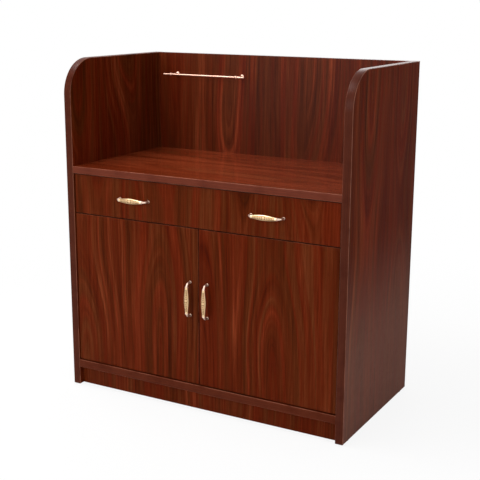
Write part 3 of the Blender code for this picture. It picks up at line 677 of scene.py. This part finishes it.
def black_plastic():
    """Matt moulded plastic, scuffed grey in places."""
    material, tree, shader = new_material("black_plastic")
    place = object_place(tree)
    grain = noise(tree, place, *PLASTIC_GRAIN_NOISE)
    scuff = between(tree, noise(tree, place, *SCUFF_NOISE), *SCUFF_RANGE)
    scuffed = calculate(tree, "MULTIPLY", scuff, SCUFF_SHARE)
    colour = mix_colour(tree, scuffed, ramp(tree, grain, PLASTIC), SCUFF_COLOUR)
    put(tree, shader.inputs["Base Color"], colour)
    put(tree, shader.inputs["Roughness"], scaled_sum(tree, PLASTIC_ROUGHNESS, (grain, 0.15), (scuff, 0.2)))
    bump(tree, shader, grain, *PLASTIC_RELIEF)
    return material


def dress(material, *names):
    for name in names:
        slots = nodes[name].data.materials
        slots.clear()
        slots.append(material)


def soften_shading():
    """Smooth shading that keeps the large faces of the boards flat."""
    for item in nodes.values():
        item.data.shade_smooth()
        item.data.set_sharp_from_angle(angle=BOARD_CREASE)
        step = item.modifiers.new("flat_faces", "WEIGHTED_NORMAL")
        step.mode = "FACE_AREA"
        step.weight = FLAT_FACE_WEIGHT
        step.keep_sharp = True


def dress_boards():
    for name, (seed, light) in FRONT_PRINTS.items():
        dress(laminate(name + "_laminate", FRONT_AXES, seed, FRONT_BAND, light=light, **FRONT_FACE), name)
    dress(laminate("back_laminate", FRONT_AXES, BACK_PRINT, PANEL_BAND, **BACK_FACE), "back_panel")
    for name, (seed, floor_sheen) in SIDE_PRINTS.items():
        dress(laminate(name + "_laminate", SIDE_AXES, seed, PANEL_BAND, floor_sheen=floor_sheen, **SIDE_FACE), name)
    dress(laminate("worktop_laminate", FLAT_AXES, TOP_PRINT, TOP_BAND, **TOP_FACE), "worktop")
    flat = laminate("flat_laminate", FLAT_AXES, FLAT_PRINT, BASE_BAND, **FLAT_FACE)
    dress(flat, "bottom_board", "shelf", "drawer_rail")
    for name, (axes, seed) in LINING_PRINTS.items():
        dress(lining(name + "_facing", axes, seed), name)


def dress_fittings():
    """Metal and plastic fittings. Gives back the steel and the zinc, for the screws."""
    steel = plated("nickel_plate", *NICKEL)
    zinc = plated("zinc_slide", *ZINC)
    copper = plated("copper_rail", *COPPER)
    plastic = black_plastic()
    for name in nodes:
        if name.startswith("hinge") or name.startswith("shelf_pin"):
            dress(steel, name)
        elif name.startswith("slide"):
            dress(zinc, name)
        elif name.startswith("rail_standoff") or name == "stemware_rail":
            dress(copper, name)
        elif name.startswith("glide"):
            dress(plastic, name)
    return steel, zinc


def smooth_step(value):
    value = min(max(value, 0.0), 1.0)
    return value * value * (3 - 2 * value)


def tube_faces(rows, count):
    """Faces that join rows of points, the same count in each, and close both ends."""
    faces = []
    for row in range(rows - 1):
        low = row * count
        high = low + count
        for step in range(count):
            after = (step + 1) % count
            faces.append((low + step, low + after, high + after, high + step))
    last = (rows - 1) * count
    faces.append(tuple(range(count))[::-1])
    faces.append(tuple(range(last, last + count)))
    return faces


def finished_mesh(name, verts, faces, point_values, crease):
    """Mesh with numbers kept at its points, faces turned outwards and edges sharp past the crease angle."""
    mesh = bpy.data.meshes.new(name)
    mesh.from_pydata(verts, [], faces)
    for label, values in point_values.items():
        mesh.attributes.new(label, "FLOAT", "POINT").data.foreach_set("value", values)
    shape = bmesh.new()
    shape.from_mesh(mesh)
    bmesh.ops.recalc_face_normals(shape, faces=shape.faces)
    shape.to_mesh(mesh)
    shape.free()
    mesh.shade_smooth()
    mesh.set_sharp_from_angle(angle=crease)
    return mesh


def show(name, mesh, body, material, matrix=None):
    """Put a finished piece in the scene, on the body that carries it."""
    item = bpy.data.objects.new(name, mesh)
    bpy.context.scene.collection.objects.link(item)
    if matrix:
        item.matrix_world = matrix
    mesh.materials.clear()
    mesh.materials.append(material)
    bpy.context.view_layer.update()
    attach(item, body)
    return item


def box_middle(name):
    low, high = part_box(name)
    return (Vector(low) + Vector(high)) / 2


def bow_line():
    """Half of the handle's centre line, from the grip's middle to the foot, with the length run so far."""
    points = []
    for step in range(BOW_SAMPLES + 1):
        angle = math.pi / 2 * (1 - step / BOW_SAMPLES)
        along = BOW_HALF * max(math.cos(angle), 0.0) ** (2 / BOW_POWER)
        points.append(Vector((along, 0.0, BOW_OUT * math.sin(angle) ** (2 / BOW_POWER))))
    run = [0.0]
    for before, after in zip(points, points[1:]):
        run.append(run[-1] + (after - before).length)
    return points, run


def on_bow(points, run, length):
    """Centre point and heading at a length along the half bow."""
    place = 1
    while place < len(run) - 1 and run[place] < length:
        place += 1
    before = points[place - 1]
    after = points[place]
    share = (length - run[place - 1]) / (run[place] - run[place - 1])
    return before.lerp(after, min(share, 1.0)), (after - before).normalized()


def handle_section(length, total):
    """Half width and half thickness of the metal at a length from the middle of the bow."""
    if length <= GRIP_HALF:
        swell = math.cos(math.pi / 2 * length / GRIP_HALF) ** GRIP_SWELL_POWER
        wide = GRIP_END_RADIUS + (GRIP_WIDTH / 2 - GRIP_END_RADIUS) * swell
        thick = GRIP_END_RADIUS + (GRIP_THICKNESS / 2 - GRIP_END_RADIUS) * swell
        return wide, thick
    past = length - GRIP_HALF
    if past <= RING_LENGTH:
        bead = abs(math.sin(2 * math.pi * past / RING_LENGTH)) ** RING_BEAD_POWER
        radius = RING_RADIUS - RING_GROOVE * (1 - bead)
        return radius, radius
    left = total - length
    if left >= FOOT_LENGTH:
        arm = (past - RING_LENGTH) / (total - FOOT_LENGTH - GRIP_HALF - RING_LENGTH)
        radius = ARM_RADIUS + ARM_SHOULDER * (1 - smooth_step(arm / ARM_SHOULDER_SHARE))
        return radius, radius
    neck = smooth_step((FOOT_LENGTH - left) / (FOOT_LENGTH - FOOT_NECK))
    radius = ARM_RADIUS + (FOOT_NECK_RADIUS - ARM_RADIUS) * neck
    if left < FOOT_NECK:
        flare = smooth_step((FOOT_NECK - left) / (FOOT_NECK - FOOT_COLLAR))
        radius = FOOT_NECK_RADIUS + (FOOT_RADIUS - FOOT_NECK_RADIUS) * flare ** 2
    if left < FOOT_ROUNDING:
        radius = FOOT_RADIUS - (FOOT_ROUNDING - left) / 2
    return radius, radius


def leaves():
    """Every leaf and petal of the ornament: place along, place across, lean, half length, half width."""
    shapes = []
    for step in range(PETALS):
        angle = 2 * math.pi * step / PETALS
        place = (PETAL_RING * math.cos(angle), PETAL_RING * math.sin(angle))
        shapes.append((*place, angle, PETAL_HALF_LENGTH, PETAL_HALF_WIDTH))
    for end in (-1, 1):
        for pair in range(LEAF_PAIRS):
            shrink = 1 - LEAF_SHRINK * pair
            along = LEAF_START + LEAF_STEP * pair
            for side in (-1, 1):
                lean = LEAF_LEAN * side * end
                place = (end * (along + LEAF_AHEAD), side * LEAF_ASIDE * shrink)
                shapes.append((*place, lean, LEAF_HALF_LENGTH * shrink, LEAF_HALF_WIDTH * shrink))
    return shapes


def ornament(along, across, wide, shapes):
    """Height of the ornament over the plain grip, and how much patina lies there."""
    edge = max(abs(along) / GROUND_HALF_LENGTH, abs(across) / (wide * GROUND_SHARE))
    ground = 1 - smooth_step((edge - GROUND_FADE_FROM) / GROUND_FADE)
    rise = 0.0
    for place_along, place_across, lean, half_length, half_width in shapes:
        off_along = along - place_along
        off_across = across - place_across
        if abs(off_along) > half_length or abs(off_across) > half_length:
            continue
        run = off_along * math.cos(lean) + off_across * math.sin(lean)
        side = off_across * math.cos(lean) - off_along * math.sin(lean)
        dome = 1 - (run / half_length) ** 2 - (side / half_width) ** 2
        if dome > 0:
            vein = LEAF_VEIN_DEPTH * math.exp(-(side / LEAF_VEIN_WIDTH) ** 2)
            rise = max(rise, math.sqrt(dome) - vein)
    boss = 1 - (along ** 2 + across ** 2) / BOSS_RADIUS ** 2
    if boss > 0:
        rise = max(rise, BOSS_RISE * math.sqrt(boss))
    spray_end = LEAF_START + LEAF_STEP * LEAF_PAIRS
    if LEAF_START - RIB_LEAD < abs(along) < spray_end:
        rib = 1 - (across / RIB_HALF_WIDTH) ** 2
        rise = max(rise, RIB_RISE * math.sqrt(max(rib, 0.0)))
    height = ground * (LEAF_HEIGHT * rise - GROUND_DEPTH)
    return height, ground * (1 - min(rise / CLEAN_RISE, 1.0))


def plain_patina(length, radius, total):
    """Patina where there is no ornament: most in the grooves of the rings and towards the foot."""
    if GRIP_HALF < length <= GRIP_HALF + RING_LENGTH:
        return RING_PATINA * smooth_step((RING_RADIUS - radius) / RING_GROOVE - RING_CLEAN)
    return ARM_PATINA + FOOT_PATINA * smooth_step(FOOT_PATINA_REACH - (total - length) / FOOT_LENGTH)


def handle_lengths(total):
    """Lengths along half of the bow at which the handle gets a row of points, closest at the beads."""
    arm_start = GRIP_HALF + RING_LENGTH
    arm_length = total - FOOT_LENGTH - arm_start
    lengths = [GRIP_HALF * step / GRIP_ROWS for step in range(GRIP_ROWS)]
    lengths += [GRIP_HALF + RING_LENGTH * step / RING_ROWS for step in range(RING_ROWS)]
    lengths += [arm_start + arm_length * step / ARM_ROWS for step in range(ARM_ROWS)]
    lengths += [total - FOOT_LENGTH * (1 - step / FOOT_ROWS) for step in range(FOOT_ROWS + 1)]
    return lengths


def handle_mesh():
    """Bow handle: X along it, Y across, Z out from the front."""
    points, run = bow_line()
    total = run[-1]
    lengths = handle_lengths(total)
    rows = [(-1, length) for length in reversed(lengths[1:])] + [(1, length) for length in lengths]
    shapes = leaves()
    verts, patina, grip = [], [], []
    for sign, length in rows:
        centre, heading = on_bow(points, run, length)
        outward = Vector((-heading.z, 0.0, heading.x)) if length else Vector((0.0, 0.0, 1.0))
        wide, thick = handle_section(length, total)
        on_grip = length <= GRIP_HALF
        plain_dark = plain_patina(length, wide, total)
        for step in range(HANDLE_SIDES):
            angle = 2 * math.pi * step / HANDLE_SIDES
            height, dark = 0.0, plain_dark
            if on_grip and math.cos(angle) > 0:
                height, dark = ornament(sign * length, wide * math.sin(angle), wide, shapes)
            spot = centre + outward * (thick + height) * math.cos(angle)
            verts.append((sign * spot.x, (wide + height) * math.sin(angle), spot.z))
            patina.append(dark)
            grip.append(1.0 if on_grip else 0.0)
    faces = tube_faces(len(rows), HANDLE_SIDES)
    return finished_mesh("bow_handle", verts, faces, {"patina": patina, "grip": grip}, HANDLE_CREASE)


def handles(brass):
    bodies = {"drawer_handle_left": "drawer", "drawer_handle_right": "drawer",
              "left_door_handle": "left_door", "right_door_handle": "right_door"}
    base = handle_mesh()
    front_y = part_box("drawer_front")[0].y
    for name, body in bodies.items():
        middle = box_middle(name)
        turn = Matrix.Rotation(math.pi / 2, 4, "X")
        if "door" in name:
            turn = Matrix.Rotation(math.pi / 2, 4, "Y") @ turn
        spot = Matrix.Translation((middle.x, front_y - SEAT, middle.z))
        item = show("bow_" + name, base.copy(), body, brass, spot @ turn)
        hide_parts(name)


def band_section(half):
    """Outline of a strip's section: across the board's edge, out from it. Its back lies inside the board."""
    side = half + BAND_LIP
    outline = [(-side, -BAND_WRAP)]
    for step in range(BAND_ROUNDING_STEPS + 1):
        angle = math.pi / 2 * step / BAND_ROUNDING_STEPS
        turn = BAND_ROUNDING * (1 - math.cos(angle))
        outline.append((-side + turn, BAND_PROUD - BAND_ROUNDING * (1 - math.sin(angle))))
    outline += [(-across, out) for across, out in reversed(outline)]
    back = half - BAND_SINK
    return outline + [(back, -BAND_WRAP), (back, -BAND_SINK), (-back, -BAND_SINK), (-back, -BAND_WRAP)]


def band_piece(name, path, across, half, material):
    """A strip swept along a path of (place, outward) stations."""
    section = band_section(half)
    verts, run, lane, lip = [], [], [], []
    length = 0.0
    for number, (place, outward) in enumerate(path):
        if number:
            length += (Vector(place) - Vector(path[number - 1][0])).length
        for side, out in section:
            verts.append(Vector(place) + Vector(across) * side + Vector(outward) * out)
            run.append(length)
            lane.append(side)
            lip.append(smooth_step((abs(side) - half + BAND_ROUNDING) / BAND_ROUNDING))
    faces = tube_faces(len(path), len(section))
    mesh = finished_mesh(name, verts, faces, {"run": run, "lane": lane, "lip": lip}, BAND_CREASE)
    show(name, mesh, "carcass", material)


def panel_path(name):
    """Up a side panel's front edge, round its corner and back along its top."""
    low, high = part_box(name)
    middle = (low.x + high.x) / 2
    path = [((middle, low.y, low.z + BAND_END_GAP), (0.0, -1.0, 0.0))]
    for step in range(CORNER_STEPS + 1):
        angle = math.pi / 2 * step / CORNER_STEPS
        y = low.y + CORNER_RADIUS * (1 - math.cos(angle))
        z = high.z - CORNER_RADIUS * (1 - math.sin(angle))
        path.append(((middle, y, z), (0.0, -math.cos(angle), math.sin(angle))))
    path.append(((middle, high.y - BAND_END_GAP, high.z), (0.0, 0.0, 1.0)))
    return path


def board_path(name):
    """Along a flat board's front edge."""
    low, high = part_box(name)
    middle = (low.z + high.z) / 2
    ends = (low.x + BAND_END_GAP, high.x - BAND_END_GAP)
    return [((x, low.y, middle), (0.0, -1.0, 0.0)) for x in ends]


def edge_bands():
    panel_band = edge_banding("panel_edge_band", PANEL_BAND, PANEL_BAND_INDEX)
    for name in ("left_side_panel", "right_side_panel"):
        low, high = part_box(name)
        half = (high.x - low.x) / 2
        band_piece(name + "_edge_band", panel_path(name), (1.0, 0.0, 0.0), half, panel_band)
    flat_boards = {"worktop": (TOP_BAND, TOP_BAND_INDEX), "bottom_board": (BASE_BAND, BASE_BAND_INDEX)}
    for name, (tint, index) in flat_boards.items():
        low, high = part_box(name)
        half = (high.z - low.z) / 2
        strip = edge_banding(name + "_edge_band", tint, index)
        band_piece(name + "_edge_band", board_path(name), (0.0, 0.0, 1.0), half, strip)


def cross_outline(reach, half):
    """Corners of a cross in order, for a screwdriver recess."""
    quarter = [(reach, -half), (reach, half), (half, half)]
    corners = []
    for turn in range(4):
        cosine = math.cos(math.pi / 2 * turn)
        sine = math.sin(math.pi / 2 * turn)
        for x, y in quarter:
            corners.append((x * cosine - y * sine, x * sine + y * cosine))
    return corners


def join_rings(shape, lower, upper):
    for step in range(SCREW_SIDES):
        after = (step + 1) % SCREW_SIDES
        shape.faces.new((lower[step], lower[after], upper[after], upper[step]))


def add_head(shape, radius, height):
    """A screw head, rounded at the rim, with a cross recess in its top. Gives back its lowest ring."""
    rings = []
    for share, level in SCREW_PROFILE:
        ring = []
        for step in range(SCREW_SIDES):
            angle = 2 * math.pi * step / SCREW_SIDES
            place = (share * radius * math.cos(angle), share * radius * math.sin(angle), level * height)
            ring.append(shape.verts.new(place))
        rings.append(ring)
    for lower, upper in zip(rings, rings[1:]):
        join_rings(shape, lower, upper)
    outline = cross_outline(CROSS_REACH * radius, CROSS_HALF * radius)
    cross = [shape.verts.new((x, y, height)) for x, y in outline]
    floor = []
    for corner in cross:
        place = (CROSS_TAPER * corner.co.x, CROSS_TAPER * corner.co.y, CROSS_FLOOR * height)
        floor.append(shape.verts.new(place))
    top = rings[-1]
    edges = [shape.edges.get((top[step - 1], top[step])) for step in range(SCREW_SIDES)]
    for step in range(len(cross)):
        edges.append(shape.edges.new((cross[step - 1], cross[step])))
        shape.faces.new((cross[step - 1], floor[step - 1], floor[step], cross[step]))
    bmesh.ops.triangle_fill(shape, edges=edges, use_beauty=True)
    shape.faces.new(floor)
    return rings[0]


def add_screw(shape, matrix, radius, height, shank, shank_radius):
    """A screw with its head on the XY plane and its shank, if any, going down."""
    start = len(shape.verts)
    base = add_head(shape, radius, height)
    if shank:
        slim = shank_radius / radius
        neck = [shape.verts.new((v.co.x * slim, v.co.y * slim, 0.0)) for v in base]
        tip = [shape.verts.new((v.co.x, v.co.y, -shank)) for v in neck]
        join_rings(shape, neck, base)
        join_rings(shape, tip, neck)
        base = tip
    shape.faces.new(base[::-1])
    shape.verts.ensure_lookup_table()
    bmesh.ops.transform(shape, matrix=matrix, verts=shape.verts[start:])


def facing(place, direction, spin):
    """Matrix that stands a screw at a place with its head towards a direction."""
    turn = Vector(direction).to_track_quat("Z", "Y").to_matrix().to_4x4()
    return Matrix.Translation(place) @ turn @ Matrix.Rotation(spin, 4, "Z")


def screw_piece(name, spots, body, material, radius=FIXING_SCREW_RADIUS, height=FIXING_SCREW_HEAD, shank=0.0,
                shank_radius=0.0):
    """All screws of one kind on one body, each turned a little further than the last, as fitted by hand."""
    shape = bmesh.new()
    for count, (place, direction) in enumerate(spots):
        stand = facing(place, direction, SCREW_TURN * count)
        add_screw(shape, stand, radius, height, shank, shank_radius)
    bmesh.ops.recalc_face_normals(shape, faces=shape.faces)
    mesh = bpy.data.meshes.new(name)
    shape.to_mesh(mesh)
    shape.free()
    mesh.shade_smooth()
    mesh.set_sharp_from_angle(angle=SCREW_CREASE)
    return show(name, mesh, body, material)


def handle_screws(steel):
    """The screws from inside each front into the feet of its handles."""
    ends = {"drawer_handle_left": ("left", "right"), "drawer_handle_right": ("left", "right"),
            "left_door_handle": ("upper", "lower"), "right_door_handle": ("upper", "lower")}
    seat_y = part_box("drawer_front")[1].y
    tip_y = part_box("drawer_front")[0].y - HANDLE_SCREW_INTO_FOOT
    for handle, sides in ends.items():
        names = [f"{handle}_screw_{side}" for side in sides]
        spots = []
        for name in names:
            middle = box_middle(name)
            spots.append(((middle.x, seat_y + SEAT, middle.z), (0.0, 1.0, 0.0)))
        body = "drawer" if handle.startswith("drawer") else handle.replace("_handle", "")
        item = screw_piece(handle + "_screws", spots, body, steel, HANDLE_SCREW_HEAD_RADIUS,
                           HANDLE_SCREW_HEAD - SEAT, seat_y + SEAT - tip_y, HANDLE_SCREW_RADIUS)
        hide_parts(*names)


def hinge_screws(steel):
    """Two screws through the ears of each cup, two through each plate's wings, two in each arm."""
    for side, sign in {"left": -1, "right": 1}.items():
        inward = (-sign, 0.0, 0.0)
        in_door, in_panel = [], []
        for level in ("upper", "lower"):
            tag = f"{side}_{level}"
            cup = box_middle("hinge_cup_" + tag)
            cup_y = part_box("hinge_cup_" + tag)[1].y
            plate = box_middle("hinge_plate_" + tag)
            plate_low, plate_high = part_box("hinge_plate_" + tag)
            plate_x = plate_low.x if sign > 0 else plate_high.x
            arm_x = plate_x - sign * (SEAT + ARM_SHEET)
            arm_end_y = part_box("hinge_arm_" + tag)[1].y
            for way in (-1, 1):
                in_door.append(((cup.x, cup_y, cup.z + way * CUP_SCREW_SPREAD), (0.0, 1.0, 0.0)))
                in_panel.append(((plate_x, plate.y, plate.z + way * PLATE_SCREW_SPREAD), inward))
            for inset in ARM_SCREW_INSETS:
                in_panel.append(((arm_x, arm_end_y - inset, plate.z), inward))
        screw_piece(f"hinge_cup_screws_{side}", in_door, f"{side}_door", steel)
        screw_piece(f"hinge_plate_screws_{side}", in_panel, "carcass", steel)


def slide_screws(zinc):
    """Screws that hold each drawer member of the slides, seen inside its channel when the drawer is out."""
    for side, sign in {"left": -1, "right": 1}.items():
        low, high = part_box(f"slide_drawer_{side}")
        web_x = low.x + SLIDE_SHEET if sign > 0 else high.x - SLIDE_SHEET
        middle_z = (low.z + high.z) / 2
        spots = []
        for share in SLIDE_SCREW_SHARES:
            spots.append(((web_x, low.y + (high.y - low.y) * share, middle_z), (sign, 0.0, 0.0)))
        screw_piece(f"slide_screws_{side}", spots, "drawer", zinc)


def camera():
    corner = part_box("left_side_panel")[0]
    data = bpy.data.cameras.new("camera")
    data.sensor_width = SENSOR
    data.lens = SENSOR * FOCAL_PIXELS / IMAGE_PIXELS
    item = bpy.data.objects.new("camera", data)
    bpy.context.scene.collection.objects.link(item)
    dip, turn, roll = CAMERA_DIP, CAMERA_AZIMUTH, CAMERA_ROLL
    look = Vector((-math.sin(turn) * math.cos(dip), math.cos(turn) * math.cos(dip), -math.sin(dip)))
    right = look.cross(Vector((0.0, 0.0, 1.0))).normalized()
    up = right.cross(look)
    rolled_right = right * math.cos(roll) + up * math.sin(roll)
    rolled_up = up * math.cos(roll) - right * math.sin(roll)
    axes = Matrix((rolled_right, rolled_up, -look)).transposed()
    place = Vector(CAMERA_PLACE) + Vector((corner.x, corner.y, 0.0))
    item.matrix_world = Matrix.Translation(place) @ axes.to_4x4()
    bpy.context.scene.camera = item


def area_light(name, place, aim, size, power):
    data = bpy.data.lights.new(name, "AREA")
    data.shape = "RECTANGLE"
    data.size, data.size_y = size
    data.energy = power
    item = bpy.data.objects.new(name, data)
    item.location = place
    item.rotation_euler = (Vector(aim) - Vector(place)).to_track_quat("-Z", "Y").to_euler()
    bpy.context.scene.collection.objects.link(item)


def seen_directly(tree):
    """1 for rays from the camera, from mirror-like surfaces and through glass."""
    rays = add(tree, "ShaderNodeLightPath")
    seen = calculate(tree, "MAXIMUM", rays.outputs["Is Camera Ray"], rays.outputs["Is Glossy Ray"])
    return calculate(tree, "MAXIMUM", seen, rays.outputs["Is Transmission Ray"])


def white_world():
    world = bpy.data.worlds.new("studio")
    bpy.context.scene.world = world
    world.use_nodes = True
    tree = world.node_tree
    background = tree.nodes["Background"]
    background.inputs["Color"].default_value = (1.0, 1.0, 1.0, 1.0)
    seen = seen_directly(tree)
    strength = calculate(tree, "MULTIPLY_ADD", seen, 1.0 - BACKGROUND_LIGHT, BACKGROUND_LIGHT)
    put(tree, background.inputs["Strength"], strength)


def floor_material():
    """White that keeps the shadow near the object and fades into the background further out."""
    material, tree, shader = new_material("floor")
    shader.inputs["Base Color"].default_value = FLOOR_COLOUR
    shader.inputs["Roughness"].default_value = FLOOR_ROUGHNESS
    shader.inputs["Specular IOR Level"].default_value = 0.0
    glow = add(tree, "ShaderNodeEmission")
    blend = add(tree, "ShaderNodeMixShader")
    distance = add(tree, "ShaderNodeVectorMath", operation="LENGTH")
    put(tree, distance.inputs[0], object_place(tree))
    far = between(tree, distance.outputs["Value"], FLOOR_FADE_FROM, FLOOR_FADE_TO)
    share = calculate(tree, "MULTIPLY_ADD", far, 1.0 - FLOOR_GLOW, FLOOR_GLOW)
    put(tree, blend.inputs[0], calculate(tree, "MULTIPLY", seen_directly(tree), share))
    put(tree, blend.inputs[1], shader.outputs[0])
    put(tree, blend.inputs[2], glow.outputs[0])
    put(tree, tree.nodes["Material Output"].inputs["Surface"], blend.outputs[0])
    return material


def floor_plane():
    mesh = bpy.data.meshes.new("floor")
    signs = ((-1, -1), (1, -1), (1, 1), (-1, 1))
    mesh.from_pydata([(FLOOR_HALF * x, FLOOR_HALF * y, 0.0) for x, y in signs], [], [(0, 1, 2, 3)])
    item = bpy.data.objects.new("floor", mesh)
    bpy.context.scene.collection.objects.link(item)
    mesh.materials.append(floor_material())


def studio():
    white_world()
    floor_plane()
    for name, (place, aim, size, power) in LAMPS.items():
        area_light(name, place, aim, size, power)


soften_shading()
dress_boards()
plain_steel, slide_zinc = dress_fittings()
edge_bands()
handles(antique_brass())
handle_screws(plain_steel)
hinge_screws(plain_steel)
slide_screws(slide_zinc)
camera()
studio()
bpy.context.scene.view_settings.view_transform = "Standard"
